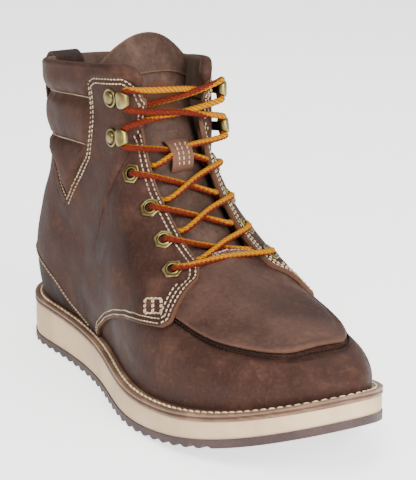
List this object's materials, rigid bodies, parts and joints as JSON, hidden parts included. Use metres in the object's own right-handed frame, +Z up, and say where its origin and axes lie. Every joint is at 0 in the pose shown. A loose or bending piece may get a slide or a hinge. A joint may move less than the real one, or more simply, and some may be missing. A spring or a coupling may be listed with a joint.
{
  "type": "moc toe work boot",
  "caption": "Ankle-high lace-up work boot with a raised moc toe, quilted padded collar, welt, cream wedge midsole and rippled outsole; a right boot, open inside for the foot.",
  "frame": {"origin": "on the floor under the middle of the boot's bounding box", "axes": "+X towards the toe, +Y to the inner side of the foot, +Z up"},
  "size_m": [0.3044, 0.1098, 0.191],
  "materials": {
    "tread_rubber": "matte moulded rubber",
    "wedge_foam": "smooth cream foam rubber",
    "welt_leather": "burnished tan edge",
    "insole_board": "plain board",
    "oiled_leather": "oiled pull-up leather with rubbed highlights",
    "counter_leather": "darker oiled leather",
    "collar_leather": "soft padded leather",
    "antique_brass": "antiqued brass",
    "lace_cord": "round braided cord in gold and maroon"
  },
  "bodies": {
    "root": {"outsole": "tread_rubber", "midsole": "wedge_foam", "welt": "welt_leather", "insole": "insole_board", "upper": "oiled_leather", "tongue": "oiled_leather", "plug": "oiled_leather", "quarter_lateral": "oiled_leather", "quarter_medial": "oiled_leather", "lace_keeper": "oiled_leather", "pull_loop": "oiled_leather", "heel_counter": "counter_leather", "quilted_collar": "collar_leather", "eyelet_lateral_1": "antique_brass", "eyelet_lateral_2": "antique_brass", "eyelet_lateral_3": "antique_brass", "eyelet_lateral_4": "antique_brass", "eyelet_medial_1": "antique_brass", "eyelet_medial_2": "antique_brass", "eyelet_medial_3": "antique_brass", "eyelet_medial_4": "antique_brass", "hook_lateral_1": "antique_brass", "hook_lateral_2": "antique_brass", "hook_medial_1": "antique_brass", "hook_medial_2": "antique_brass", "lace_bar": "lace_cord", "lace_cross_1": "lace_cord", "lace_cross_2": "lace_cord", "lace_cross_3": "lace_cord", "lace_cross_4": "lace_cord", "lace_cross_5": "lace_cord"}
  },
  "joints": []
}
